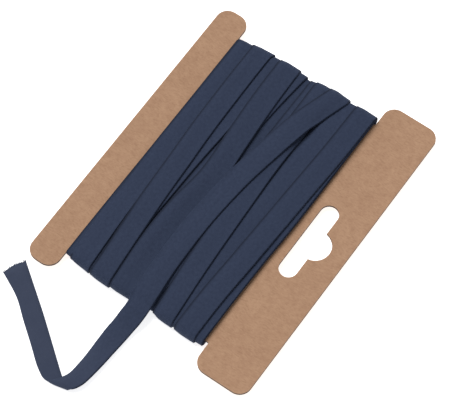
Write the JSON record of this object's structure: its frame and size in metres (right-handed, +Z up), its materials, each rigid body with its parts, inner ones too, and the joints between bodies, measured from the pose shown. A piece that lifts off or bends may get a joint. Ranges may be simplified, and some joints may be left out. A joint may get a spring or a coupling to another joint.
{
  "type": "card of bias tape",
  "caption": "Flat kraft board card with a hanging slot, wound round its waist with folded navy cotton bias tape whose loose end lies in front.",
  "frame": {"origin": "middle of the card in plan, on the surface that the back of the winding rests on", "axes": "+Z up, out of the card's front face; +Y along the flanges, away from the loose end; +X from the narrow flange to the wide one with the hanging slot"},
  "size_m": [0.0948, 0.1547, 0.0086],
  "materials": {
    "kraft_board": "matt",
    "navy_cotton": "matt"
  },
  "bodies": {
    "root": {"card": "kraft_board", "winding": "navy_cotton", "loose_end": "navy_cotton"}
  },
  "joints": []
}
